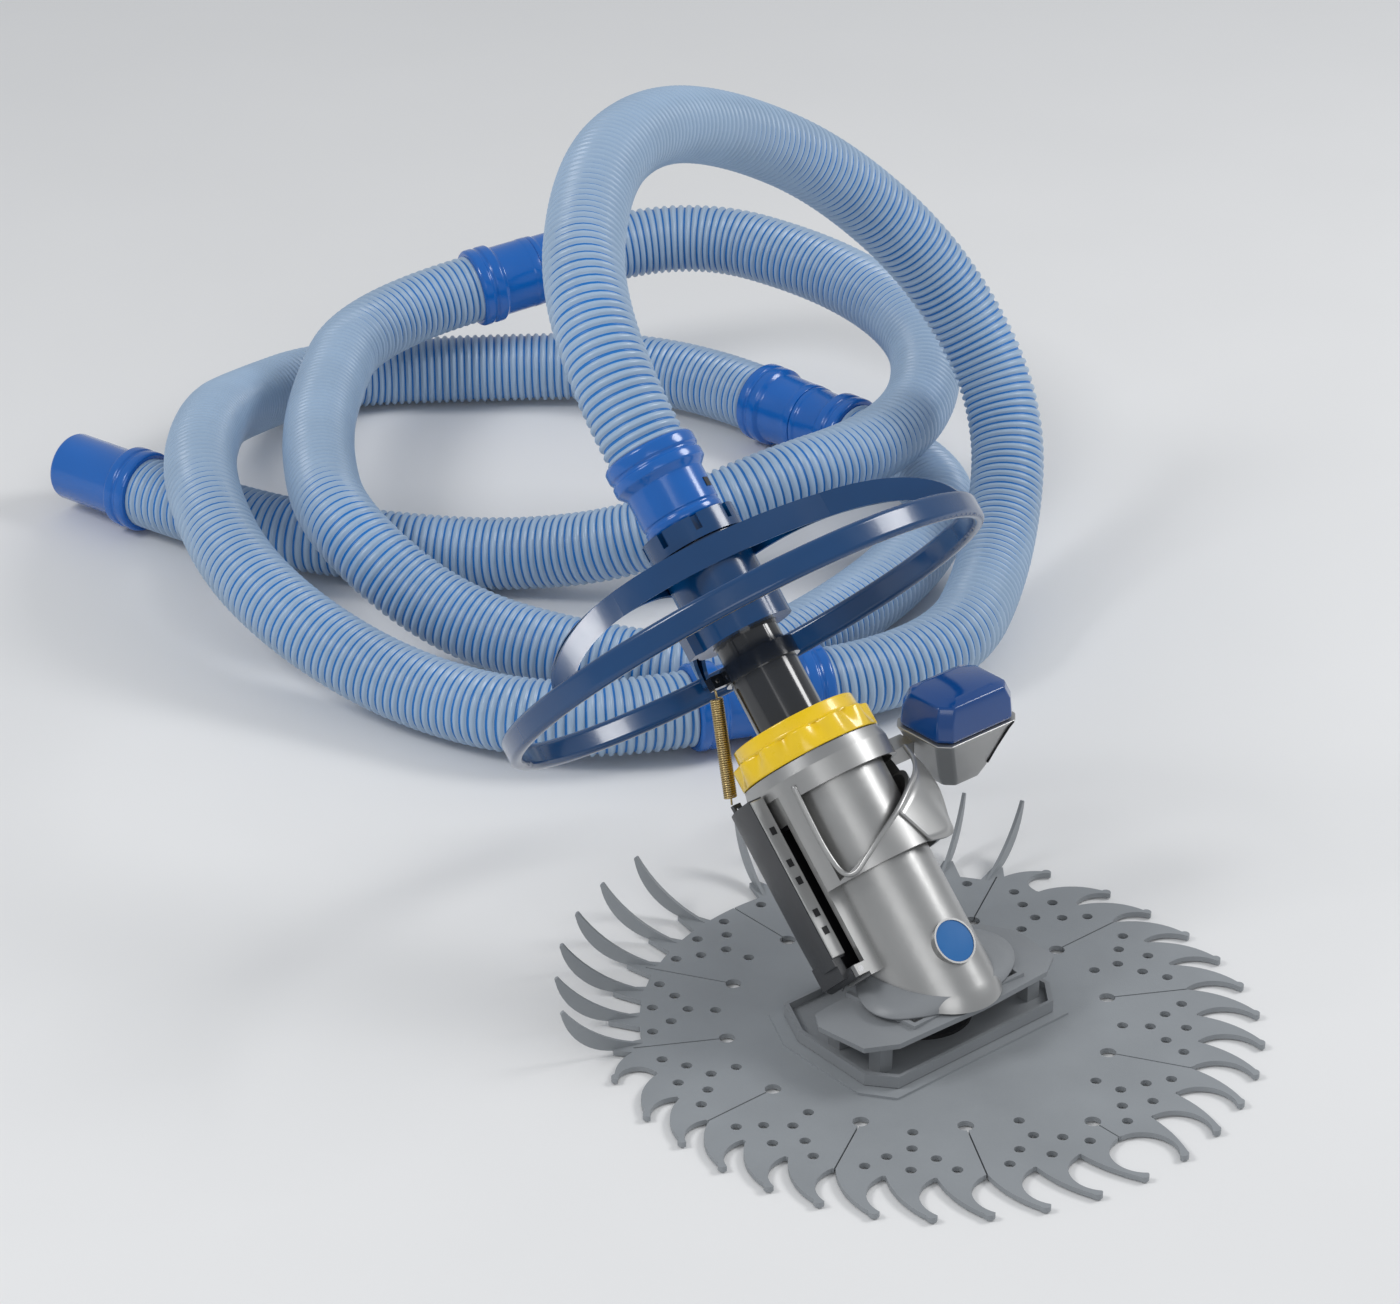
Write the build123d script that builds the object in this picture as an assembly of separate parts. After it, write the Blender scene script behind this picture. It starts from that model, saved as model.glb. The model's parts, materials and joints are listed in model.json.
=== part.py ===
from build123d import *
from math import cos, radians, sin, tan
import os

# Suction pool cleaner head with a deflector wheel, standing on a finned disc, and its ribbed hose.
# All sizes in mm. Z is up, the floor is z = 0, the nose points along -Y, the pipe leans back to +Y.

# --- driving dimensions -------------------------------------------------------------------------
tilt = 45.0                     # lean of the pipe from the floor
axis_z = 43.0                   # height at which the pipe axis crosses x = y = 0

disc_bottom, disc_top = 0.6, 4.0
disc_root_r = 172.0             # radius of the notches between the fins
disc_bore_r = 30.05
boss_top = 5.6
slit_in_r, slit_nose_r, slit_w = 120.0, 150.0, 1.0
fin_pitch = 10.0
blade_t, blade_tip_r, blade_tip_z = 2.2, 222.0, 38.0

hub_r, hub_in_r = 30.0, 26.0
pad_r, pad_t = 46.0, 2.4
tray_z0, tray_z1, tray_rim_z = 6.2, 9.0, 14.0
wing_z, wing_t, wing_slope = 39.5, 3.5, 4.5

body_rx, body_ry, body_wall = 37.5, 41.0, 3.5
body_s0, body_s1 = -30.0, 127.0
sleeve_r, sleeve_wall, sleeve_s0, sleeve_s1 = 48.0, 3.0, 62.0, 127.0
ring_s0, ring_s1 = 127.0, 141.5
neck_r, neck_s1 = 39.95, 153.0
nut_r, nut_step_r, nut_s0, nut_s1, nut_step_s = 46.5, 41.0, 142.0, 167.0, 157.0
nut_thread_r, nut_hole_r, nut_fingers = 40.0, 23.0, 12

pipe_r, pipe_in_r, pipe_s0, pipe_s1 = 22.5, 19.6, 112.0, 205.0
socket_r = 26.0
inner_r, inner_in_r, inner_s0, inner_s1 = 19.0, 16.5, 112.0, 340.0
lug_r, lug_s1, throat_r, throat_s1 = 25.5, 216.0, 21.0, 229.0

hoop_r, hoop_s, hoop_w, hoop_t = 161.0, 231.0, 17.0, 8.0
hub_bore_r, hub_out_r, hub_s0, hub_s1 = 22.05, 29.0, 229.6, 291.0
bush_in_r = 22.0
arm_w, arm_t, arm_rise = 17.0, 3.0, 60.0
arm_angles = (52.0, 172.0, 292.0)
collar_s0, collar_s1, collar_r = 291.6, 306.6, 31.5

hose_r, hose_in_r = 26.5, 24.9
cuff_ring_r, cuff_body_r, cuff_in_r, spigot_r = 30.5, 26.0, 19.5, 23.0
pair_len = 98.0                 # two joined cuffs, hose end to hose end
cuff_s0, cuff_s1 = 307.0, 360.0

# --- hose route points (floor runs lie at hose radius + 0.5) --------------------------------------
route_1 = [(0, 254.56, 297.56), (0, 320, 363), (100, 430, 400), (200, 490, 395), (305, 525, 355),
           (405, 525, 295), (480, 490, 210), (495, 425, 115), (420, 360, 40), (295, 283, 31.5),
           (210, 317, 31.5)]
route_2 = [(119, 353.4, 31.5), (40, 385, 31.5), (-10, 510, 27), (-40, 640, 65), (-5, 750, 96),
           (80, 855, 82), (170, 935, 42), (265, 965, 27), (375, 885, 27), (478, 790, 31.5),
           (487, 692, 31.5)]
route_3 = [(496, 594.4, 31.5), (505, 496, 31.5), (405, 425, 27), (300, 390, 27), (180, 375, 27),
           (120, 450, 27), (70, 555, 35), (40, 645, 88), (95, 740, 88), (160, 820, 86),
           (265, 915, 87), (358, 889, 98)]
route_4 = [(451.8, 862.8, 109.1), (533.1, 840.1, 118.7), (580, 710, 110), (570, 600, 97), (505, 525, 86),
           (415, 485, 86), (310, 490, 88), (235, 540, 50), (180, 615, 27), (115, 690, 27),
           (55, 775, 31.5), (34, 870, 31.5)]

# --- frames and helpers ---------------------------------------------------------------------------
slope = radians(tilt)
pipe_dir = Vector(0, cos(slope), sin(slope))
pipe_plane = Plane(origin=(0, 0, axis_z), x_dir=(1, 0, 0), z_dir=pipe_dir)
parts = {}


def on_pipe(shape):
    """Moves a shape built about local Z (s along the pipe, local -Y is the front side) onto the pipe."""
    return pipe_plane.location * shape


def tube(r_out, r_in, s0, s1):
    """A plain tube between two stations of the local Z axis."""
    outer = Pos(0, 0, s0) * Cylinder(r_out, s1 - s0, align=(Align.CENTER, Align.CENTER, Align.MIN))
    inner = Pos(0, 0, s0 - 1) * Cylinder(r_in, s1 - s0 + 2, align=(Align.CENTER, Align.CENTER, Align.MIN))
    return outer - inner


def rod(r, s0, s1):
    """A solid cylinder between two stations."""
    return Pos(0, 0, s0) * Cylinder(r, s1 - s0, align=(Align.CENTER, Align.CENTER, Align.MIN))


def block(x0, x1, y0, y1, z0, z1):
    """A box given by its limits."""
    return Pos((x0 + x1) / 2, (y0 + y1) / 2, (z0 + z1) / 2) * Box(x1 - x0, y1 - y0, z1 - z0)


def polar(r, a):
    """A point in the XY plane from radius and angle in degrees."""
    return (r * cos(radians(a)), r * sin(radians(a)))


def prism(points, z0, z1):
    """A straight-sided polygon pulled up from z0 to z1."""
    return Pos(0, 0, z0) * extrude(Face(Wire.make_polygon([(x, y, 0) for x, y in points])), z1 - z0, dir=(0, 0, 1))


def bevelled(points):
    """A revolved section given as (radius, station) points about local Z."""
    face = Face(Wire.make_polygon([(r, 0, s) for r, s in points]))
    return revolve(face, Axis.Z)


def hose_path(points):
    """Straight runs joined by tangent arcs, one radius at each corner."""
    pts = [Vector(*p) for p in points]
    edges = []
    start = pts[0]
    for a, b, c in zip(pts, pts[1:], pts[2:]):
        u = (b - a).normalized()
        v = (c - b).normalized()
        half = radians(u.get_angle(v)) / 2
        setback = 0.45 * min((b - a).length, (c - b).length)
        radius = setback / tan(half)
        enter = b - u * setback
        leave = b + v * setback
        inward = (v - u).normalized()
        middle = b + inward * (radius / cos(half) - radius)
        print("corner radius", round(radius))
        edges.append(Line(start, enter))
        edges.append(ThreePointArc(enter, middle, leave))
        start = leave
    edges.append(Line(start, pts[-1]))
    return Wire(edges)


def hose_tube(points):
    """The hose wall swept along its path."""
    path = hose_path(points)
    first = Vector(*points[0])
    heading = (Vector(*points[1]) - first).normalized()
    plane = Plane(origin=first, z_dir=heading)
    wall = plane.location * (Circle(hose_r) - Circle(hose_in_r))
    return sweep(wall, path=path)


def along(start, heading):
    """A location with local Z along heading."""
    return Plane(origin=start, z_dir=heading).location


# --- finned disc ------------------------------------------------------------------------------------
def fin_face(centre):
    """One flat fin: convex back edge, round tip, concave edge on the side of the nose."""
    off = (centre - 270.0 + 180.0) % 360.0 - 180.0
    away = 1.0 if off > 0 else -1.0
    lean = 6.5 * min(1.0, abs(off) / 80.0)
    if abs(off) > 108:
        lean = 3.5
    tip_r = 199.0 + 13.0 * min(1.0, max(0.0, (95.0 - abs(off)) / 45.0))
    tip = centre - away * lean
    back = centre + away * 5.0
    front = centre - away * 5.0
    a = polar(disc_root_r - 2, back)
    b = polar(tip_r - 3, tip + away * 0.9)
    c = polar(tip_r - 3, tip - away * 0.9)
    d = polar(disc_root_r, front + away * 0.6)
    e = polar(disc_root_r - 4, front)
    mid = (disc_root_r + tip_r) / 2
    back_mid = polar(mid + 3.5, back + (tip - back) * 0.47)
    front_mid = polar(mid - 2.0, tip + away * (1.6 + 0.12 * lean))
    outline = Wire([
        ThreePointArc(a, back_mid, b),
        ThreePointArc(b, polar(tip_r, tip), c),
        ThreePointArc(c, front_mid, d),
        Line(d, e),
        Line(e, a),
    ])
    return Face(outline)


def rear_tooth(centre):
    """The small flat tooth beside a standing blade."""
    away = 1.0 if centre > 90 else -1.0
    w = centre + away * 3.0
    pts = [polar(168, w - away * 1.2), polar(190, w + away * 0.4), polar(190.5, w + away * 2.2),
           polar(171, w + away * 4.6), polar(166, w + away * 3.0)]
    return Face(Wire.make_polygon([(x, y, 0) for x, y in pts]))


def blade(centre):
    """A standing tusk-shaped blade over a rear tooth."""
    away = 1.0 if centre > 90 else -1.0
    a0 = centre + away * 3.0
    start = Vector(*polar(167, a0), 0)
    end = Vector(*polar(blade_tip_r, a0 + away * 3.0), 0)
    plane = Plane(origin=start, x_dir=(end - start).normalized(), z_dir=(end - start).cross(Vector(0, 0, 1)))
    span = (end - start).length
    z0 = disc_top - 1.0
    outline = Wire([
        ThreePointArc((0, z0), (span * 0.55, 15.0), (span - 1.0, blade_tip_z)),
        ThreePointArc((span - 1.0, blade_tip_z), (span + 0.6, blade_tip_z - 0.6), (span + 0.8, blade_tip_z - 3.0)),
        ThreePointArc((span + 0.8, blade_tip_z - 3.0), (span * 0.83, 15.0), (span * 0.42, z0)),
        Line((span * 0.42, z0), (0, z0)),
    ])
    return plane.location * extrude(Face(outline), blade_t / 2, both=True)


flat_centres = [155 + fin_pitch * i for i in range(24)]
rear_centres = [35 + fin_pitch * i for i in range(12)]
thick = disc_top - disc_bottom
fins = [Pos(0, 0, disc_bottom) * extrude(fin_face(c), thick, dir=(0, 0, 1)) for c in flat_centres]
fins = fins + [Pos(0, 0, disc_bottom) * extrude(rear_tooth(c), thick, dir=(0, 0, 1)) for c in rear_centres]
disc = Pos(0, 0, disc_bottom) * extrude(Circle(disc_root_r - 0.5), thick)
disc = disc + fins
cuts = []
for i in range(12):
    a = 30.0 * i
    inner = slit_nose_r if i == 9 else slit_in_r
    run = disc_root_r + 6 - inner
    cuts.append(Rot(0, 0, a) * Pos(inner + run / 2, 0) * Box(run, slit_w, 20))
    cuts.append(Pos(*polar(inner, a)) * Cylinder(5.0, 20))
    mid = a + 15.0
    for r, spread in ((125, 0), (142, 0), (152, -5.5), (152, 5.5), (164, -9.5), (164, 0), (164, 9.5)):
        cuts.append(Pos(*polar(r, mid + spread)) * Cylinder(3.4, 20))
disc = disc - cuts
lip_outline = [(-72, -58), (72, -58), (86, -38), (84, 30), (68, 62), (-68, 62), (-84, 30), (-86, -38)]
disc = disc + prism(lip_outline, disc_top - 0.5, boss_top)
disc = disc - [Cylinder(disc_bore_r, 40), rod(pad_r + 0.4, 0, pad_t + 0.35)]
disc = disc + [blade(centre) for centre in rear_centres]
parts["disc"] = disc

# --- foot -------------------------------------------------------------------------------------------
tray_outline = [(-65, -51.4), (65, -51.4), (78, -35), (76, 26), (62, 55), (-62, 55), (-76, 26), (-78, -35)]
tray_inside = [(x * 0.965, y * 0.955) for x, y in tray_outline]
post_spots = [(x, y) for x in (-62, 62) for y in (-32, 4)]
tray = prism(tray_outline, tray_z0, tray_rim_z) - prism(tray_inside, tray_z1, 30)
tray = tray - rod(hub_in_r, 0, 30)
screws = []
for x, y in post_spots:
    tray = tray + block(x - 5, x + 5, y - 5, y + 5, tray_z1 - 0.5, 30)
    screws.append(Pos(x, y, 0) * (rod(3.0, tray_z0, tray_z0 + 2) + rod(1.5, tray_z0 + 2, 26)))
    tray = tray - screws[-1]
parts["foot_tray"] = tray + tube(hub_r, hub_in_r, pad_t, tray_z0 + 0.5)
parts["foot_screws"] = Compound(children=[screw.solid() for screw in screws])
parts["foot_pad"] = tube(pad_r, hub_in_r, 0, pad_t)
parts["foot_seal"] = tube(33.0, hub_in_r, tray_z1, tray_z1 + 2.5)

wing_half = [(0, -56), (62, -48), (80, -36), (84, 0), (72, 18), (45, 34), (0, 40)]
wing_pivot = Pos(0, 0, wing_z)
back_to_floor = Pos(0, 0, -wing_z)
right_half = prism(wing_half, wing_z - wing_t, wing_z)
left_half = prism([(-x, y) for x, y in wing_half], wing_z - wing_t, wing_z)
wing = wing_pivot * Rot(0, wing_slope, 0) * back_to_floor * right_half
wing = wing + wing_pivot * Rot(0, -wing_slope, 0) * back_to_floor * left_half
skirt_outside = [(-46, -44), (46, -44), (52, 20), (30, 36), (-30, 36), (-52, 20)]
skirt_inside = [(-43, -41), (43, -41), (49, 18), (28, 33), (-28, 33), (-49, 18)]
wing = wing + prism(skirt_outside, 30, wing_z - 1)
wing = wing - prism(skirt_inside, 20, 80)
for x, y in post_spots:
    wing = wing + block(x - 4, x + 4, y - 4, y + 4, 30, wing_z - 6.5)
wing = wing - block(-200, 200, -200, 200, wing_z, 90)
wing = wing - block(-95, -43, 11, 60, 20, 60)    # room for the lower end of the door
parts["foot_wing"] = wing


# --- lower body: leaning oval tube with a rounded nose and a slotted side box --------------------------
def oval(rx, ry, s0, s1):
    """An elliptic bar along local Z."""
    return Pos(0, 0, s0) * extrude(Ellipse(rx, ry), s1 - s0)


def nose_ball(rx, r):
    """The rounded lower end, narrower across than front to back."""
    return Pos(0, 0, body_s0) * scale(Sphere(r), by=(rx / r, 1, 1))


box_x0, box_x1, box_y0, box_y1, box_s0 = -46.0, -28.0, -14.0, 28.0, 6.0
slot_y0, slot_y1, slot_s0, slot_s1 = -9.5, 10.5, 12.0, 110.0
hinge_x, hinge_s, pin_r = -51.0, 12.0, 2.0
side_box = block(box_x0, box_x1, box_y0, box_y1, box_s0, body_s1)
body = oval(body_rx, body_ry, body_s0, body_s1) + nose_ball(body_rx, body_ry) + side_box
for y in (box_y0, box_y1 - 4):
    body = body + block(hinge_x - 3.5, box_x0 + 1, y, y + 4, hinge_s - 3.5, hinge_s + 3.5)
body = body - oval(body_rx - body_wall, body_ry - body_wall, body_s0, body_s1 + 1)
body = body - nose_ball(body_rx - body_wall, body_ry - body_wall)
body = body - block(-60, -20, slot_y0, slot_y1, slot_s0, slot_s1)
pin_way = Pos(hinge_x, 0, hinge_s) * Rot(-90, 0, 0)
body = body - pin_way * rod(pin_r, -40, 40)
badge_spot = Pos(0, 0, 0.5) * Rot(90, 0, 0)
badge_r, badge_rim_r = 13.3, 14.5
body = body - badge_spot * rod(badge_rim_r, 30, 60)
parts["lower_body"] = on_pipe(body) - block(-90, 90, -150, 150, -90, wing_z)
parts["badge_rim"] = on_pipe(badge_spot * tube(badge_rim_r, badge_r, 36.0, 42.6))
parts["badge"] = on_pipe(badge_spot * rod(badge_r, 36.0, 42.0))
parts["door_pin"] = on_pipe(pin_way * rod(pin_r, box_y0, box_y1))

# --- shroud with its V-shaped window, ring under the nut ------------------------------------------------
sleeve = tube(sleeve_r, sleeve_r - sleeve_wall, sleeve_s0, sleeve_s1)
sleeve = sleeve - block(-60, -30, box_y0, box_y1, 0, 200)
window = [(-41.5, 64), (-41.5, 121), (47, 121), (46, 112), (20, 95), (-15, 76)]
window_face = Face(Wire.make_polygon([(x, 0, s) for x, s in window]))
sleeve = sleeve - extrude(window_face, 80, dir=(0, -1, 0))
sleeve_solids = sorted(sleeve.solids(), key=lambda solid: -solid.volume)
parts["shroud"] = on_pipe(sleeve_solids[0])
ring_section = [(socket_r, ring_s0), (sleeve_r, ring_s0), (sleeve_r, 134), (46.2, ring_s1),
                (neck_r, ring_s1), (neck_r, neck_s1), (socket_r, neck_s1)]
parts["top_ring"] = on_pipe(bevelled(ring_section))
parts["pipe_socket"] = on_pipe(tube(socket_r, pipe_r, pipe_s0, neck_s1))
parts["neck_seal"] = on_pipe(tube(socket_r, pipe_r, neck_s1, neck_s1 + 0.8))

# --- inside: cassette, diaphragm, rings ------------------------------------------------------------------
cassette = block(-44, 18, slot_y0 + 0.3, slot_y1 - 0.3, slot_s0 + 0.3, slot_s1 - 0.3)
cassette = cassette - block(-60, 16, slot_y0 + 2.3, slot_y1 - 2.3, slot_s0 + 2.3, slot_s1 - 2.3)
cassette = cassette - rod(9.0, 0, 40) - Pos(0, 0.5, 0) * rod(7.5, 90, 120)
parts["cassette"] = on_pipe(cassette)
parts["diaphragm"] = on_pipe(Pos(0, 0.5, 0) * (oval(13, 6.5, 30, 88) - oval(11, 4.5, 20, 100)))
parts["diaphragm_ring"] = on_pipe(Pos(0, 0.5, 0) * (oval(15.5, 7.2, 88, 94) - oval(11, 4.5, 80, 100)))
parts["compression_ring"] = on_pipe(tube(pipe_r, inner_in_r, pipe_s0 - 1.7, pipe_s0))
parts["outer_pipe"] = on_pipe(tube(pipe_r, inner_r, pipe_s0, pipe_s1))
parts["inner_pipe"] = on_pipe(tube(inner_r, inner_in_r, inner_s0, inner_s1))

# --- pipe stack above the nut ------------------------------------------------------------------------------
lug_x, lug_y = -28.0, 13.0
lug = block(-32, -20, 9.5, 16.5, pipe_s1 + 2, lug_s1 - 1) - Pos(lug_x, 0, pipe_s1 + 6) * Rot(90, 0, 0) * rod(1.6, -30, 0)
lug_ring = tube(lug_r, inner_r, pipe_s1, lug_s1) + (lug - rod(inner_r + 1, 0, 300))
lug_ring = lug_ring + tube(throat_r, inner_r, lug_s1, throat_s1)
parts["lug_ring"] = on_pipe(lug_ring)
parts["wheel_bush"] = on_pipe(tube(bush_in_r, inner_r, throat_s1, collar_s0))
collar = tube(collar_r, inner_r, collar_s0, collar_s1)
for i in range(8):
    collar = collar - Rot(0, 0, 45 * i + 20) * block(26, 40, -2.2, 2.2, collar_s0 + 5, collar_s1 + 1)
parts["top_collar"] = on_pipe(collar)

# --- yellow nut ----------------------------------------------------------------------------------------------
nut_section = [(nut_thread_r, nut_s0), (nut_r, nut_s0), (nut_r, nut_step_s), (nut_step_r, nut_step_s + 1.5),
               (nut_step_r, nut_s1), (nut_hole_r, nut_s1), (nut_hole_r, 154), (nut_thread_r, 154)]
nut = bevelled(nut_section)
for i in range(nut_fingers):
    nut = nut - Rot(0, 0, 30 * i + 10) * Pos(nut_r + 4.5, 0, 0) * rod(7.0, nut_s0 + 3, nut_s1)
parts["pipe_nut"] = on_pipe(nut)

# --- deflector wheel ----------------------------------------------------------------------------------------
hoop_section = Pos(hoop_r, 0, hoop_s) * Rot(90, 0, 0) * RectangleRounded(hoop_t, hoop_w, 3.5)
hoop = revolve(hoop_section, Axis.Z)
hub = tube(hub_out_r, hub_bore_r, hub_s0, hub_s1) + tube(32.5, hub_bore_r, hub_s0, hub_s0 + 15)
hub = hub + Rot(0, 0, 165) * (block(24, 38, -7, 7, hub_s0, hub_s0 + 17) - rod(24, 0, 300))
parts["wheel_hub"] = on_pipe(hub)
dome_face = Ellipse(hoop_r + 2, arm_rise) - Ellipse(hoop_r - 13, arm_rise - arm_w)
dome_face = dome_face & (Pos(100, 50) * Rectangle(162, 100))
dome = revolve(Pos(0, 0, hoop_s) * Rot(90, 0, 0) * dome_face, Axis.Z)


def ribbon(a):
    """A domed band on edge from the hoop at one arm angle, past the hub, to the hoop at the next."""
    start = Vector(*polar(hoop_r, -a))
    touch = Vector(*polar(hub_out_r + 0.5, 60 - a))
    finish = Vector(*polar(hoop_r, 120 - a))
    half = Vector(*polar(arm_t / 2, 60 - a))
    outline = Wire([
        ThreePointArc(start + half, touch + half, finish + half),
        Line(finish + half, finish - half),
        ThreePointArc(finish - half, touch - half, start - half),
        Line(start - half, start + half),
    ])
    return (Pos(0, 0, hoop_s) * extrude(Face(outline), 80, dir=(0, 0, 1))) & dome


wheel = hoop + [ribbon(a) for a in arm_angles]
wheel = wheel - rod(hub_out_r, 0, 400)
parts["wheel_hoop"] = on_pipe(wheel)

# --- side door with its hook, and the tension spring ---------------------------------------------------------
door_in_r, door_out_r, door_s0, door_s1 = 57.0, 60.0, 20.0, 133.0
shell = tube(door_out_r, door_in_r, door_s0, door_s1) + tube(door_out_r, 53.0, door_s1 - 3, door_s1)
shell = shell & prism([(0, 0), (-90, -6), (-90, 120), (-58, 92)], 0, 200)
taper_face = Face(Wire.make_polygon([(0, 24, 10), (0, 50, 112), (0, 50, 140), (0, 99, 140), (0, 99, 10)]))
shell = shell - extrude(taper_face, 150, dir=(-1, 0, 0))
shell = shell + block(-59, -50, -4, -1, door_s0 + 4, door_s1)
knuckle = pin_way * tube(4.2, pin_r + 0.05, box_y0 + 4.3, box_y1 - 4.3)
strap = block(-58.5, hinge_x - 2.6, -4, 22, hinge_s - 1, door_s0 + 6) - pin_way * rod(4.0, -40, 40)
hook = block(-37, -31, 44.5, 47.5, door_s1 - 8, door_s1 + 8) - Pos(-34, 0, door_s1 + 4.5) * Rot(90, 0, 0) * rod(1.5, -60, 0)
parts["door"] = on_pipe(shell + strap + knuckle + hook)
top_point = Vector(lug_x + 0.6, lug_y + 4.5, pipe_s1 + 2)
low_point = Vector(-34, 49.8, door_s1 + 9)
spring_len = (top_point - low_point).length
spring = along(low_point, top_point - low_point) * (tube(4.5, 3.3, 3, spring_len - 3))
parts["spring"] = on_pipe(spring)

# --- float on its bracket, level with the floor ----------------------------------------------------------------
float_x0, float_x1, float_y0, float_y1 = 70.0, 132.0, 55.0, 99.0
float_low, float_mid, float_top = 105.0, 145.0, 173.0
cx, cy = (float_x0 + float_x1) / 2, (float_y0 + float_y1) / 2


def tapered(w0, d0, z0, w1, d1, z1):
    """A four-sided hopper between two level rectangles."""
    low = Pos(cx, cy, z0) * RectangleRounded(w0, d0, 6)
    high = Pos(cx, cy, z1) * RectangleRounded(w1, d1, 6)
    return loft([low.face(), high.face()])


float_shell = tapered(30, 24, float_low, 62, 44, float_mid) - tapered(25, 19, float_low + 3, 57.5, 39.5, float_mid + 0.01)
parts["float_shell"] = float_shell
parts["float_ballast"] = tapered(24, 18, float_low + 3.4, 40, 27, float_mid - 14)
parts["float_cap"] = tapered(60, 42, float_mid, 52, 35, float_top)
bracket = block(40, float_x0, 82, 95, 127, 138)
bracket = bracket - on_pipe(rod(sleeve_r, 100, ring_s1 + 30))
parts["float_bracket"] = bracket

# --- hose sections and their cuffs ------------------------------------------------------------------------------
cuff = tube(cuff_ring_r, inner_r, 340, cuff_s1) + tube(cuff_body_r, inner_r, cuff_s0, 340)
cuff = cuff - Rot(0, 0, -60) * block(22, 40, -6, 6, 318, 330)
parts["cuff_0"] = on_pipe(cuff)
parts["lock_stud"] = on_pipe(Rot(0, 0, -60) * block(22, 26.5, -3, 3, 321, 327))
routes = [route_1, route_2, route_3, route_4]
for number, route in enumerate(routes, start=1):
    parts["hose_%d" % number] = hose_tube(route)


def end_of(route):
    """A location at the end of a route, local Z leaving it."""
    last, before = Vector(*route[-1]), Vector(*route[-2])
    return along(last, (last - before).normalized())


ring_len, joint_at = 20.0, 52.0
for number, route in enumerate(routes[:3], start=1):
    here = end_of(route)
    socket = tube(cuff_ring_r, cuff_in_r, 0, ring_len) + tube(cuff_body_r + 1.5, spigot_r + 0.2, ring_len, joint_at)
    plug = tube(cuff_ring_r, cuff_in_r, pair_len - ring_len, pair_len)
    plug = plug + tube(cuff_body_r, cuff_in_r, joint_at, pair_len - ring_len)
    plug = plug + tube(spigot_r, cuff_in_r, ring_len + 4, joint_at)
    parts["cuff_%da" % number] = here * socket
    parts["cuff_%db" % number] = here * plug
    parts["cuff_seal_%d" % number] = here * tube(spigot_r + 0.2, cuff_in_r, ring_len, ring_len + 4)
free_end = tube(cuff_ring_r, cuff_in_r, 0, ring_len) + tube(25.4, cuff_in_r, ring_len, 78)
parts["cuff_4"] = end_of(route_4) * free_end

# --- write the parts ----------------------------------------------------------------------------------------------
os.makedirs("parts", exist_ok=True)
for name, shape in parts.items():
    export_step(shape, "parts/" + name + ".step")
    print(name, "solids", len(shape.solids()), "volume", round(shape.volume))
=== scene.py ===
import json
from math import cos, pi, radians, sin

import bpy
from mathutils import Matrix, Vector


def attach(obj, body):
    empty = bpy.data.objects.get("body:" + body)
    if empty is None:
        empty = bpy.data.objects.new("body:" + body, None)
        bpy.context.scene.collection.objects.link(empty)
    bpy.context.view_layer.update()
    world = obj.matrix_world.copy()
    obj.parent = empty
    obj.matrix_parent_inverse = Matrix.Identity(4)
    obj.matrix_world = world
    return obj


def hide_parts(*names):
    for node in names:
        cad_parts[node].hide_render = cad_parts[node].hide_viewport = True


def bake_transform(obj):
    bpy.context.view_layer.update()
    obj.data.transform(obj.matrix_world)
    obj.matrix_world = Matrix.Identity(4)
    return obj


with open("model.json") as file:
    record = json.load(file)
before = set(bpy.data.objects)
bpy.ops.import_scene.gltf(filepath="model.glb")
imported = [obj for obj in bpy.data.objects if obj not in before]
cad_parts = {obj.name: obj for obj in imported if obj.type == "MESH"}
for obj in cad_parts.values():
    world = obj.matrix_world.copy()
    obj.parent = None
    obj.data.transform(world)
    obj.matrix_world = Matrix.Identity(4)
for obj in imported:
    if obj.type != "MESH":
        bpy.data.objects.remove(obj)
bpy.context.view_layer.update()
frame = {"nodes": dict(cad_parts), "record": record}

MM = 0.001

# --- frames: the pipe frame has local Z up the leaning pipe ---------------------------------------
PIPE = Matrix(((1, 0, 0, 0), (0, 0.70711, 0.70711, 0), (0, -0.70711, 0.70711, 0.043), (0, 0, 0, 1)))


def along(start, heading):
    """A matrix with local Z along heading, in metres."""
    turn = Vector((0, 0, 1)).rotation_difference(Vector(heading).normalized()).to_matrix().to_4x4()
    return Matrix.Translation(Vector(start)) @ turn


# --- materials ------------------------------------------------------------------------------------
COAT_ROUGHNESS = 0.08
NOISE_LOW, NOISE_HIGH = 0.3, 0.7
SMOOTHEST = 0.02
SMEAR_SCALE = 3.1
GRAIN_DEPTH = 0.0004


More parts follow.
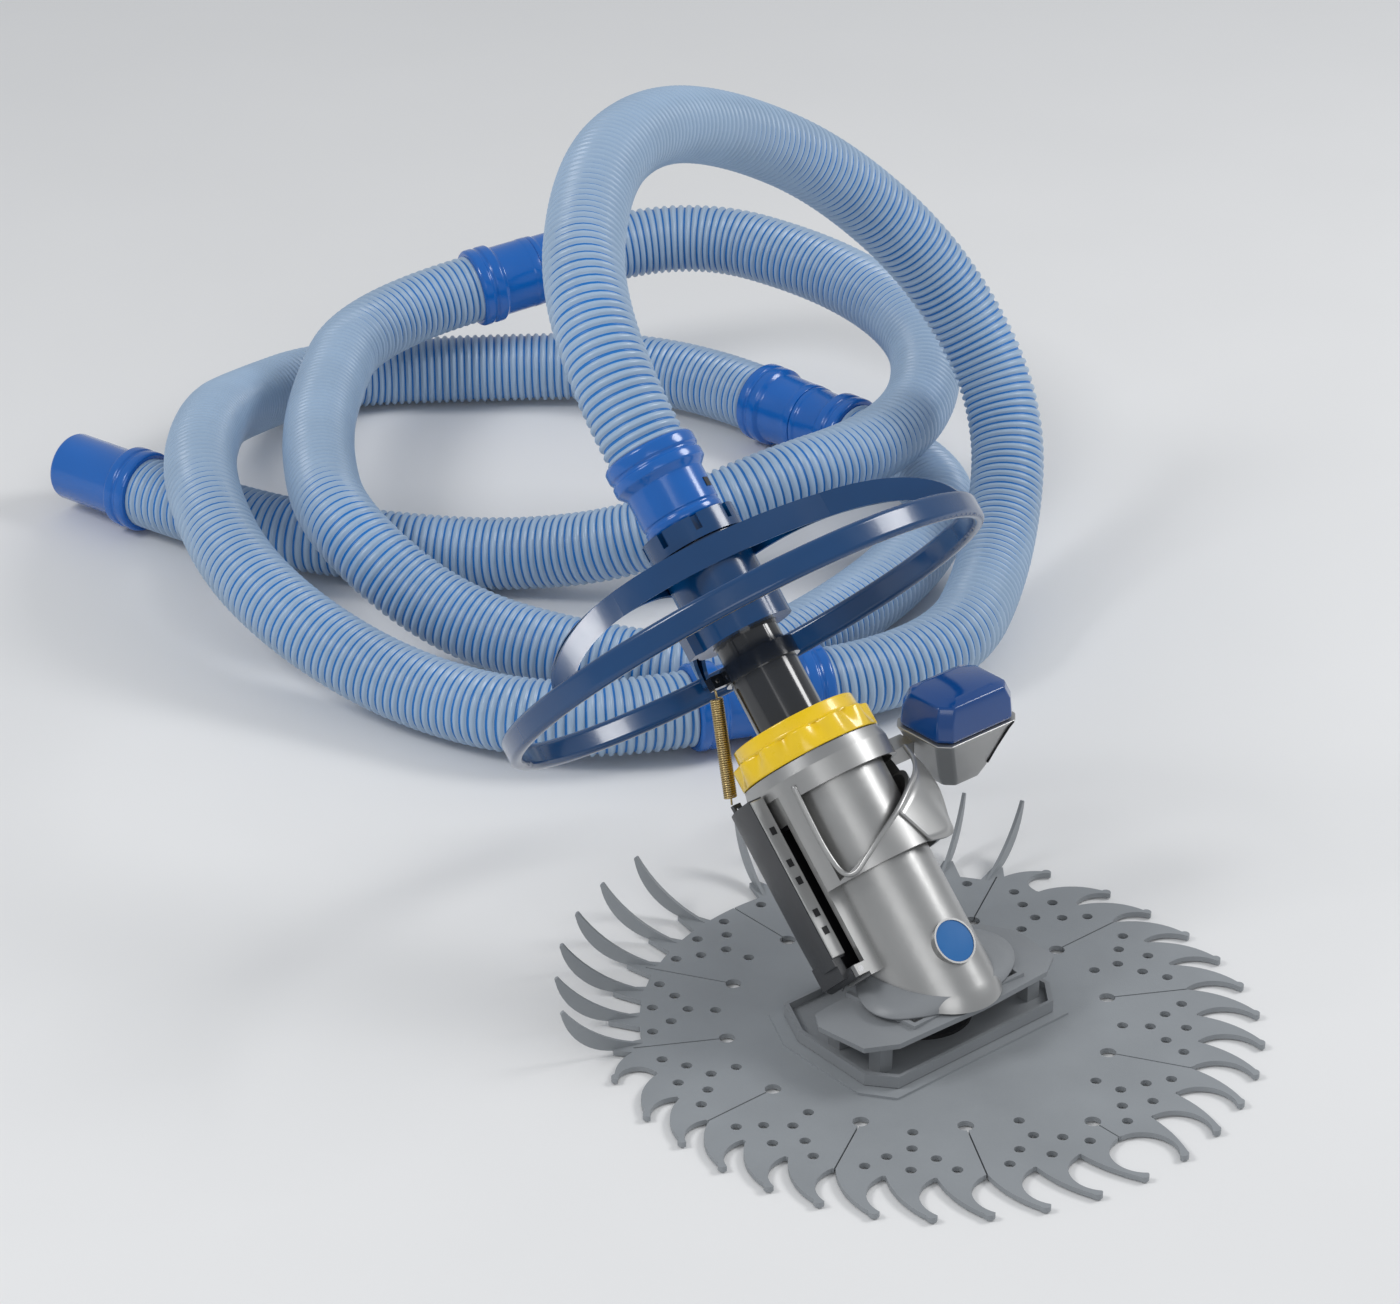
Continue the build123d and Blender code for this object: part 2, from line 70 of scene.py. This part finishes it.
def finish_of(name, colour, rough, metallic=0.0, coat=0.0, grain=0.0, grain_scale=900.0, blotch=0.08,
              blotch_scale=14.0, wear=0.06):
    """A surface with faint colour blotches, uneven gloss and a fine grain."""
    mat = bpy.data.materials.new(name)
    mat.use_nodes = True
    tree = mat.node_tree
    shader = tree.nodes["Principled BSDF"]
    shader.inputs["Metallic"].default_value = metallic
    shader.inputs["Coat Weight"].default_value = coat
    shader.inputs["Coat Roughness"].default_value = COAT_ROUGHNESS
    where = tree.nodes.new("ShaderNodeTexCoord")
    cloud = tree.nodes.new("ShaderNodeTexNoise")
    cloud.inputs["Scale"].default_value = blotch_scale
    cloud.inputs["Detail"].default_value = 6.0
    tree.links.new(where.outputs["Object"], cloud.inputs["Vector"])
    tint = tree.nodes.new("ShaderNodeValToRGB")
    tint.color_ramp.elements[0].position = NOISE_LOW
    tint.color_ramp.elements[1].position = NOISE_HIGH
    tint.color_ramp.elements[0].color = (*[c * (1 - blotch) for c in colour], 1)
    tint.color_ramp.elements[1].color = (*[min(1.0, c * (1 + blotch)) for c in colour], 1)
    tree.links.new(cloud.outputs["Fac"], tint.inputs["Fac"])
    tree.links.new(tint.outputs["Color"], shader.inputs["Base Color"])
    gloss = tree.nodes.new("ShaderNodeMapRange")
    gloss.inputs["From Min"].default_value = NOISE_LOW
    gloss.inputs["From Max"].default_value = NOISE_HIGH
    gloss.inputs["To Min"].default_value = max(SMOOTHEST, rough - wear)
    gloss.inputs["To Max"].default_value = rough + wear
    smear = tree.nodes.new("ShaderNodeTexNoise")
    smear.inputs["Scale"].default_value = blotch_scale * SMEAR_SCALE
    smear.inputs["Detail"].default_value = 8.0
    tree.links.new(where.outputs["Object"], smear.inputs["Vector"])
    tree.links.new(smear.outputs["Fac"], gloss.inputs["Value"])
    tree.links.new(gloss.outputs["Result"], shader.inputs["Roughness"])
    if grain:
        fine = tree.nodes.new("ShaderNodeTexNoise")
        fine.inputs["Scale"].default_value = grain_scale
        fine.inputs["Detail"].default_value = 3.0
        tree.links.new(where.outputs["Object"], fine.inputs["Vector"])
        bump = tree.nodes.new("ShaderNodeBump")
        bump.inputs["Strength"].default_value = grain
        bump.inputs["Distance"].default_value = GRAIN_DEPTH
        tree.links.new(fine.outputs["Fac"], bump.inputs["Height"])
        tree.links.new(bump.outputs["Normal"], shader.inputs["Normal"])
    return mat


LOOKS = {
    "disc_rubber": finish_of("disc_rubber", (0.265, 0.283, 0.300),
                             0.50, grain=0.25, grain_scale=1400, blotch=0.07),
    "grey_plastic": finish_of("grey_plastic", (0.235, 0.248, 0.262),
                              0.42, grain=0.2, grain_scale=1600, blotch=0.06),
    "silver_paint": finish_of("silver_paint", (0.40, 0.40, 0.395),
                              0.34, metallic=0.80, coat=0.25, blotch=0.04,
                              wear=0.03),
    "dark_plastic": finish_of("dark_plastic", (0.012, 0.012, 0.014), 0.38, grain=0.2),
    # door_grey is the door's grey plastic painted far darker: painted shade for the door's outer faces, which sit in
    # shadow.
    "door_grey": finish_of("door_grey", (0.050, 0.052, 0.056), 0.40, grain=0.35, grain_scale=2200),
    "yellow": finish_of("yellow", (0.90, 0.60, 0.004), 0.27, coat=0.5, grain=0.05, blotch=0.05),
    "black_pipe": finish_of("black_pipe", (0.008, 0.010, 0.014), 0.14, coat=0.6, blotch=0.1, wear=0.04),
    "navy": finish_of("navy", (0.0, 0.045, 0.15), 0.20, coat=0.3, blotch=0.08, wear=0.05),
    "cuff_blue": finish_of("cuff_blue", (0.0, 0.115, 0.46), 0.20, coat=0.3, blotch=0.07, wear=0.05),
    "cap_blue": finish_of("cap_blue", (0.0, 0.050, 0.22), 0.15, coat=0.4, blotch=0.05, wear=0.04),
    "badge_blue": finish_of("badge_blue", (0.001, 0.13, 0.40), 0.18, coat=0.7, blotch=0.05),
    "hose_grey": finish_of("hose_grey", (0.33, 0.45, 0.60), 0.34, grain=0.08, blotch=0.05),
    "seal_rubber": finish_of("seal_rubber", (0.010, 0.010, 0.011), 0.62, grain=0.3),
    "brass": finish_of("brass", (0.55, 0.42, 0.20), 0.28, metallic=1.0, blotch=0.12, blotch_scale=60),
    "steel": finish_of("steel", (0.55, 0.55, 0.56), 0.25, metallic=1.0, blotch=0.05),
}
GROOVE = finish_of("hose_groove", (0.005, 0.160, 0.500), 0.40, grain=0.08, blotch=0.08)

for part in frame["record"]["subparts"]:
    node = frame["nodes"][part["node"]]
    node.data.materials.clear()
    node.data.materials.append(LOOKS[part["material_slot"]])


# --- mesh helpers ---------------------------------------------------------------------------------
def piece(name, verts, faces, body, slot_name):
    """A smooth-shaded mesh piece with the finish of its slot. It rides on a body, if one is given."""
    mesh = bpy.data.meshes.new(name)
    mesh.from_pydata([tuple(v) for v in verts], [], faces)
    mesh.validate()
    mesh.update()
    made = bpy.data.objects.new(name, mesh)
    bpy.context.scene.collection.objects.link(made)
    made.data.materials.append(LOOKS[slot_name])
    for face in mesh.polygons:
        face.use_smooth = True
    if body:
        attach(made, body)
    return made


def soften(made, width_mm, segments, angle=35):
    """Rounded edges on a mesh piece."""
    bevel = made.modifiers.new("bevel", "BEVEL")
    bevel.width = width_mm * MM
    bevel.segments = segments
    bevel.limit_method = "ANGLE"
    bevel.angle_limit = radians(angle)
    bevel.harden_normals = True
    return made


def lathe(name, outline, place, body, slot_name, around=72, lobes=None):
    """A closed ring turned from (radius, station) points in mm; lobes(angle, station, radius) adds to it."""
    verts = []
    for r, s in outline:
        for k in range(around):
            a = 2 * pi * k / around
            rr = r + (lobes(a, s, r) if lobes else 0.0)
            verts.append(place @ Vector((rr * cos(a) * MM, rr * sin(a) * MM, s * MM)))
    faces = []
    rows = len(outline)
    for j in range(rows):
        nxt = (j + 1) % rows
        for k in range(around):
            k1 = (k + 1) % around
            faces.append((j * around + k, j * around + k1, nxt * around + k1, nxt * around + k))
    return piece(name, verts, faces, body, slot_name)


CORNER_SHARE = 0.45


def rounded(points, reach, steps):
    """The outline with each corner cut to a small arc of the given reach in mm."""
    out = []
    n = len(points)
    for i in range(n):
        p = Vector(points[i])
        before = Vector(points[i - 1])
        after = Vector(points[(i + 1) % n])
        a = p + (before - p).normalized() * min(reach, (before - p).length * CORNER_SHARE)
        b = p + (after - p).normalized() * min(reach, (after - p).length * CORNER_SHARE)
        for k in range(steps + 1):
            t = k / steps
            q = a * (1 - t) ** 2 + p * 2 * t * (1 - t) + b * t ** 2
            out.append((q.x, q.y))
    return out


# --- hose -----------------------------------------------------------------------------------------
# Radius over the ribs and distance from rib to rib, in mm, and points round the hose.
HOSE_R, PITCH, HOSE_AROUND = 26.5, 6.0, 32
# One rib: radius in mm, and 1 in the groove.
RIB = ((25.7, 0), (26.4, 0), (26.5, 0), (26.4, 0), (25.7, 0), (24.6, 1), (24.4, 1), (24.6, 1))
# Route of each hose section in mm, from the head to the free end.
ROUTES = [
    [(0, 254.56, 297.56), (0, 320, 363), (100, 430, 400), (200, 490, 395), (305, 525, 355), (405, 525, 295),
     (480, 490, 210), (495, 425, 115), (420, 360, 40), (295, 283, 31.5), (210, 317, 31.5)],
    [(119, 353.4, 31.5), (40, 385, 31.5), (-10, 510, 27), (-40, 640, 65), (-5, 750, 96), (80, 855, 82),
     (170, 935, 42), (265, 965, 27), (375, 885, 27), (478, 790, 31.5), (487, 692, 31.5)],
    [(496, 594.4, 31.5), (505, 496, 31.5), (405, 425, 27), (300, 390, 27), (180, 375, 27), (120, 450, 27),
     (70, 555, 35), (40, 645, 88), (95, 740, 88), (160, 820, 86), (265, 915, 87), (358, 889, 98)],
    [(451.8, 862.8, 109.1), (533.1, 840.1, 118.7), (580, 710, 110), (570, 600, 97), (505, 525, 86),
     (415, 485, 86), (310, 490, 88), (235, 540, 50), (180, 615, 27), (115, 690, 27), (55, 775, 31.5),
     (34, 870, 31.5)],
]


def smooth_line(points):
    """Points along the smooth curve of a route, read from Blender's own spline."""
    curve = bpy.data.curves.new("route", "CURVE")
    curve.dimensions = "3D"
    curve.resolution_u = 32
    spline = curve.splines.new("NURBS")
    spline.points.add(len(points) - 1)
    for knot, p in zip(spline.points, points):
        knot.co = (p[0] * MM, p[1] * MM, p[2] * MM, 1)
    spline.order_u = 3
    spline.use_endpoint_u = True
    holder = bpy.data.objects.new("route", curve)
    bpy.context.scene.collection.objects.link(holder)
    bpy.context.view_layer.update()
    mesh = bpy.data.meshes.new_from_object(holder)
    line = [v.co.copy() for v in mesh.vertices]
    bpy.data.objects.remove(holder)
    bpy.data.meshes.remove(mesh)
    return line


def evenly(line, step):
    """The same line with points at an even distance, and its length."""
    total = sum((b - a).length for a, b in zip(line, line[1:]))
    count = max(2, round(total / step))
    gap = total / count
    out = [line[0].copy()]
    want, gone = gap, 0.0
    for a, b in zip(line, line[1:]):
        run = (b - a).length
        while run > 0 and gone + run >= want - 1e-9 and len(out) < count:
            out.append(a.lerp(b, (want - gone) / run))
            want += gap
        gone += run
    out.append(line[-1].copy())
    return out, total


def corrugated(number, points):
    """One hose section, with ribs and grooves swept along the route, and its centreline."""
    centres, total = evenly(smooth_line(points), PITCH * MM / len(RIB))
    tangents = []
    for i in range(len(centres)):
        a = centres[max(0, i - 1)]
        b = centres[min(len(centres) - 1, i + 1)]
        tangents.append((b - a).normalized())
    side = tangents[0].orthogonal().normalized()
    verts, faces, dark = [], [], []
    for i, (c, t) in enumerate(zip(centres, tangents)):
        side = (side - t * side.dot(t)).normalized()
        up = t.cross(side)
        r, groove = RIB[i % len(RIB)]
        for k in range(HOSE_AROUND):
            a = 2 * pi * k / HOSE_AROUND
            verts.append(c + (side * cos(a) + up * sin(a)) * r * MM)
        if i:
            base, last = i * HOSE_AROUND, (i - 1) * HOSE_AROUND
            shade = 1 if RIB[(i - 1) % len(RIB)][1] and groove else 0
            for k in range(HOSE_AROUND):
                k1 = (k + 1) % HOSE_AROUND
                faces.append((last + k, last + k1, base + k1, base + k))
                dark.append(shade)
    end = (len(centres) - 1) * HOSE_AROUND
    faces.append(tuple(reversed(range(HOSE_AROUND))))
    faces.append(tuple(range(end, end + HOSE_AROUND)))
    dark += [0, 0]
    made = piece("ribbed_hose_%d" % number, verts, faces, "head", "hose_grey")
    made.data.materials.append(GROOVE)
    for face, shade in zip(made.data.polygons, dark):
        face.material_index = shade
    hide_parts("hose_%d" % number)
    print("hose", number, "length", round(total, 3))
    return made, [tuple(c) for c in centres[::4]] + [tuple(centres[-1])]


# --- cuffs ----------------------------------------------------------------------------------------
def cuff_outline(kind):
    """Radius and station of one cuff half in mm."""
    if kind == "a":
        return [(19.6, 0), (29.0, 0), (30.5, 2), (30.5, 7.5), (29.4, 8.5), (29.4, 10.5), (30.5, 11.5),
                (30.5, 18), (28.6, 20), (27.4, 21), (27.2, 45), (27.5, 46), (27.5, 52), (23.3, 52),
                (23.3, 24), (19.6, 20)]
    return [(19.6, 24), (22.9, 24), (22.9, 52), (26.6, 52), (27.2, 53), (27.2, 56), (26.2, 57.5),
            (26.0, 76.5), (28.6, 78), (30.5, 80), (30.5, 86.5), (29.4, 87.5), (29.4, 89.5), (30.5, 90.5), (30.5, 96),
            (29.0, 98), (19.6, 98)]


def cuff(name, outline, place, node):
    """A turned cuff with small rounded corners, in place of its CAD node."""
    made = lathe(name, rounded(outline, 0.7, 2), place, "head", "cuff_blue")
    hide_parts(node)
    return made


def end_of(route):
    """A matrix at the last point of a route, with local Z along its last run."""
    tip, previous = Vector(route[-1]), Vector(route[-2])
    return along(tip * MM, tip - previous)


cuffs = {}
for number, route in enumerate(ROUTES[:3], start=1):
    for kind in "ab":
        name = "cuff_%d%s" % (number, kind)
        cuffs[name] = cuff(name + "_turned", cuff_outline(kind), end_of(route), name)
free_outline = [(19.6, 0), (29.0, 0), (30.5, 2), (30.5, 7.5), (29.4, 8.5), (29.4, 10.5), (30.5, 11.5),
                (30.5, 18), (28.6, 20), (25.4, 21.5), (25.4, 76), (24.4, 78), (19.6, 78)]
cuffs["cuff_4"] = cuff("cuff_4_turned", free_outline, end_of(ROUTES[3]), "cuff_4")
swivel_outline = [(19.2, 307), (25.0, 307), (26.0, 308.5), (26.0, 312), (25.3, 312.6), (25.3, 314.4),
                  (26.0, 315), (26.0, 337), (28.6, 340), (30.5, 342), (30.5, 347.5), (29.4, 348.5),
                  (29.4, 350.5), (30.5, 351.5), (30.5, 358), (29.0, 360), (19.2, 360)]
cuffs["cuff_0"] = cuff("cuff_0_turned", swivel_outline, PIPE, "cuff_0")

for number, route in enumerate(ROUTES, start=1):
    hose, centres = corrugated(number, route)
    with_pieces = []
    if number == 1:
        with_pieces += [cuffs["cuff_0"], "lock_stud"]
    if number < 4:
        with_pieces += [cuffs["cuff_%da" % number], cuffs["cuff_%db" % number], "cuff_seal_%d" % number]
    else:
        with_pieces += [cuffs["cuff_4"]]

# --- yellow nut -----------------------------------------------------------------------------------
nut_outline = rounded([(40.2, 142.3), (46.5, 142.3), (46.5, 157), (41.5, 158.5), (40.8, 167), (35.5, 167),
                       (34.5, 165.4), (24.5, 165.4), (23.2, 165.4), (23.2, 154), (40.2, 154)], 0.9, 3)


FINGERS, FINGER_TURN, FINGER_DEPTH, FINGER_SHARPNESS = 12, radians(10), 5.6, 1.3
# The hollows are cut only outside this radius and above this station, in mm.
FINGER_MIN_R, FINGER_MIN_STATION = 44, 144


def fingers(a, s, r):
    """Finger hollows round the outer band of the nut."""
    if r < FINGER_MIN_R or s < FINGER_MIN_STATION:
        return 0.0
    swell = 0.5 + 0.5 * cos(FINGERS * (a - FINGER_TURN))
    return -FINGER_DEPTH * swell ** FINGER_SHARPNESS


nut = lathe("nut_fingered", nut_outline, PIPE, "nut", "yellow", around=288, lobes=fingers)
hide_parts("pipe_nut")

# --- coil spring ----------------------------------------------------------------------------------
def tube_along(name, points, radius, body, slot_name, around=10):
    """A round bar through the given points in metres."""
    verts, faces = [], []
    side = (points[1] - points[0]).orthogonal().normalized()
    for i, c in enumerate(points):
        t = (points[min(i + 1, len(points) - 1)] - points[max(i - 1, 0)]).normalized()
        side = (side - t * side.dot(t)).normalized()
        up = t.cross(side)
        for k in range(around):
            a = 2 * pi * k / around
            verts.append(c + (side * cos(a) + up * sin(a)) * radius)
        if i:
            for k in range(around):
                k1 = (k + 1) % around
                base, last_row = i * around, (i - 1) * around
                faces.append((last_row + k, last_row + k1, base + k1, base + k))
    end = (len(points) - 1) * around
    faces.append(tuple(reversed(range(around))))
    faces.append(tuple(range(end, end + around)))
    return piece(name, verts, faces, body, slot_name)


spring_top = Vector((-27.4, 17.5, 207.0))
spring_low = Vector((-34.0, 49.8, 142.0))
spring_axis = spring_top - spring_low
spring_len = spring_axis.length
spring_dir = spring_axis.normalized()
spring_side = spring_dir.orthogonal().normalized()
spring_up = spring_dir.cross(spring_side)
TURNS, TURN_STEPS = 44, 14
# Coil radius, wire radius, plain length at each end, offset of the end loops and end of the blend, in mm.
COIL_R, WIRE_R, COIL_END, LOOP_OFFSET, BLEND_END = 3.7, 0.66, 5, 1.5, 8
coil_points = []
for i in range(TURNS * TURN_STEPS + 1):
    a = 2 * pi * i / TURN_STEPS
    reach = COIL_END + (spring_len - 2 * COIL_END) * i / (TURNS * TURN_STEPS)
    around_axis = (spring_side * cos(a) + spring_up * sin(a)) * COIL_R
    coil_points.append(PIPE @ ((spring_low + spring_dir * reach + around_axis) * MM))
loops = [PIPE @ ((end + spring_side * LOOP_OFFSET) * MM) for end in (spring_low, spring_top)]
coil_points = loops[:1] + coil_points + loops[1:]
coil = tube_along("spring_coil", coil_points, WIRE_R * MM, None, "brass")
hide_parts("spring")
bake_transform(coil)

# --- float ----------------------------------------------------------------------------------------
FLOAT_X, FLOAT_Y, FLOAT_CUT = 101.0, 77.0, 7.0


def stacked(name, levels, body, slot_name, bevel_mm):
    """A solid lofted through level eight-sided outlines round the float, given as (width, depth, z) in mm."""
    verts, faces = [], []
    for w_mm, d_mm, z in levels:
        x, y = w_mm / 2, d_mm / 2
        c = min(FLOAT_CUT, x * 0.5, y * 0.5)
        ring = [(x, -y + c), (x, y - c), (x - c, y), (-x + c, y),
                (-x, y - c), (-x, -y + c), (-x + c, -y), (x - c, -y)]
        verts += [Vector(((FLOAT_X + px) * MM, (FLOAT_Y + py) * MM, z * MM)) for px, py in ring]
    for j in range(len(levels) - 1):
        for k in range(8):
            k1 = (k + 1) % 8
            faces.append((j * 8 + k, j * 8 + k1, (j + 1) * 8 + k1, (j + 1) * 8 + k))
    top = (len(levels) - 1) * 8
    faces.append(tuple(reversed(range(8))))
    faces.append(tuple(range(top, top + 8)))
    return soften(piece(name, verts, faces, body, slot_name), bevel_mm, 4, 25)


shell = stacked("float_hopper", [(30, 22, 105), (40, 29, 113), (65, 47, 141), (69, 51, 145)], "head",
                "silver_paint", 1.6)
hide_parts("float_shell", "float_ballast")
lid = stacked("float_lid", [(62, 44, 145.1), (65, 47, 147), (63, 45, 160), (57, 40, 168), (44, 29, 171)],
              "head", "cap_blue", 2.2)
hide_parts("float_cap")
seam_points = [Vector(((FLOAT_X + dx) * MM, (FLOAT_Y + dy) * MM, z * MM))
               for dx, dy, z in ((24.6, -26.0, 145.2), (22.8, -24.0, 141), (17.0, -19.2, 127),
                                 (13.0, -15.8, 116))]
tube_along("float_seam", seam_points, 0.7 * MM, "head", "seal_rubber", 6)

# --- shroud rib, flared wing and door rim ---------------------------------------------------------
SLEEVE_R = 48.2


def on_sleeve(x, s, lift=0.0):
    """A point on the front of the shroud or lifted off it, from its side position and station in mm."""
    r = SLEEVE_R + lift
    return PIPE @ (Vector((x * r / SLEEVE_R, -(SLEEVE_R ** 2 - x ** 2) ** 0.5 * r / SLEEVE_R, s)) * MM)


def eased(points, per_run=8):
    """A smooth line through points, by Catmull-Rom."""
    pts = [points[0]] + points + [points[-1]]
    out = []
    for a, b, c, d in zip(pts, pts[1:], pts[2:], pts[3:]):
        for k in range(per_run):
            t = k / per_run
            out.append(0.5 * (b * 2 + (c - a) * t + (a * 2 - b * 5 + c * 4 - d) * t ** 2
                              + (b * 3 - a - c * 3 + d) * t ** 3))
    out.append(points[-1])
    return out


rib_line = [on_sleeve(-40.5, 128), on_sleeve(-41, 105), on_sleeve(-41, 84), on_sleeve(-39.5, 68),
            on_sleeve(-35, 64), on_sleeve(-27, 69), on_sleeve(-15, 76.5), on_sleeve(3, 86, 1),
            on_sleeve(20, 96, 2), on_sleeve(33, 104, 5), on_sleeve(42, 113, 8), on_sleeve(46, 124, 10)]
tube_along("shroud_rib", eased(rib_line), 1.7 * MM, "head", "silver_paint", 12)

inner_edge = eased([on_sleeve(3, 86, 0.5), on_sleeve(20, 96, 1.5), on_sleeve(33, 104, 4.5),
                    on_sleeve(42, 113, 7.5), on_sleeve(46, 124, 9.5)])
outer_edge = eased([on_sleeve(16, 61, 1.5), on_sleeve(33, 60, 7), on_sleeve(40, 72, 9), on_sleeve(43, 90, 13),
                    on_sleeve(46.5, 108, 15)])
WING_STEPS = 6
wing_verts, wing_faces = [], []
for i, (a, b) in enumerate(zip(inner_edge, outer_edge)):
    for k in range(WING_STEPS + 1):
        t = k / WING_STEPS
        wing_verts.append(a.lerp(b, t))
    if i:
        for k in range(WING_STEPS):
            base, before_row = i * (WING_STEPS + 1), (i - 1) * (WING_STEPS + 1)
            wing_faces.append((before_row + k, before_row + k + 1, base + k + 1, base + k))
wing = piece("shroud_wing", wing_verts, wing_faces, "head", "silver_paint")
plate = wing.modifiers.new("thickness", "SOLIDIFY")
plate.thickness = 2.2 * MM
plate.offset = 0


def pipe_box(name, x, y, s, body, slot_name, bevel_mm):
    """A box given by its limits in the pipe frame, in mm."""
    verts = [PIPE @ (Vector((x[i], y[j], s[k])) * MM) for i in (0, 1) for j in (0, 1) for k in (0, 1)]
    faces = [(0, 1, 3, 2), (4, 6, 7, 5), (0, 4, 5, 1), (2, 3, 7, 6), (0, 2, 6, 4), (1, 5, 7, 3)]
    return soften(piece(name, verts, faces, body, slot_name), bevel_mm, 2)


pipe_box("door_rim", (-59.6, -49.4), (-5.4, -4.02), (25, 132), "door", "silver_paint", 0.6)
# Thin dark patches in seal_rubber on the rim face are painted shade for the pits in the rim; no recess is cut.
for i, station in enumerate((40, 52, 74, 86, 108)):
    pipe_box("door_rim_shade_patch_%d" % i, (-56.5, -52.5), (-5.7, -5.2), (station, station + 5), "door",
             "seal_rubber", 0.1)

# --- saddle between the foot plate and the body ---------------------------------------------------
SADDLE_STEPS, SADDLE_REACH = 72, 63.0
saddle_verts, saddle_faces = [], []
for i in range(SADDLE_STEPS):
    a = 2 * pi * i / SADDLE_STEPS
    c, d = cos(a), sin(a)
    reach = SADDLE_REACH if c > 0 else SADDLE_REACH - 16.0 * min(1.0, max(0.0, 0.6 + d))
    for x, y, z in ((reach * c, -6 + 42 * d, 38.6), (reach * c, -6 + 42 * d, 39.9),
                    (reach * c * 0.82, -5 + 44 * d, 42.2), (38.5 * c, -4 + 47 * d, 48.5),
                    (33.0 * c, -4 + 40 * d, 48.5), (33.0 * c, -4 + 40 * d, 38.6)):
        saddle_verts.append(Vector((x, y, z)) * MM)
for i in range(SADDLE_STEPS):
    nxt = (i + 1) % SADDLE_STEPS
    for k in range(6):
        k1 = (k + 1) % 6
        saddle_faces.append((i * 6 + k, nxt * 6 + k, nxt * 6 + k1, i * 6 + k1))
piece("foot_saddle", saddle_verts, saddle_faces, "head", "grey_plastic")

# --- stage, light and camera ----------------------------------------------------------------------
floor_mat = finish_of("floor", (0.80, 0.80, 0.80), 0.62, blotch=0.01, blotch_scale=3)
bpy.ops.mesh.primitive_plane_add(size=14, location=(0.2, 0.45, -0.0005))
floor = bpy.context.object
floor.name = "floor"
floor.data.materials.append(floor_mat)

world = bpy.data.worlds.new("studio")
bpy.context.scene.world = world
world.use_nodes = True
world.node_tree.nodes["Background"].inputs["Color"].default_value = (0.93, 0.96, 1.0, 1)
world.node_tree.nodes["Background"].inputs["Strength"].default_value = 0.50


def softbox(name, place, target, size, power, colour=(1, 1, 1)):
    """A large soft lamp aimed at a point."""
    data = bpy.data.lights.new(name, "AREA")
    data.shape = "RECTANGLE"
    data.size, data.size_y = size
    data.energy = power
    data.color = colour
    lamp = bpy.data.objects.new(name, data)
    lamp.location = place
    lamp.rotation_euler = (Vector(target) - Vector(place)).to_track_quat("-Z", "Y").to_euler()
    bpy.context.scene.collection.objects.link(lamp)


softbox("key_right", (1.9, -0.7, 1.9), (0.2, 0.35, 0.1), (0.9, 0.9), 27)
softbox("key_left", (-1.7, 0.9, 2.0), (0.2, 0.35, 0.1), (0.8, 0.8), 22)
softbox("front_fill", (-1.4, -1.9, 1.6), (0.1, 0.2, 0.1), (1.6, 1.2), 10)

camera_data = bpy.data.cameras.new("camera")
camera_data.lens = 115
camera_data.sensor_width = 36
camera_data.clip_end = 50
camera = bpy.data.objects.new("camera", camera_data)
camera.location = (-1.6234, -1.6628, 1.4959)
camera_target = Vector((0.2169, 0.4542, 0.0))
camera.rotation_euler = (camera_target - camera.location).to_track_quat("-Z", "Y").to_euler()
bpy.context.scene.collection.objects.link(camera)
bpy.context.scene.camera = camera
bpy.context.scene.view_settings.view_transform = "Standard"
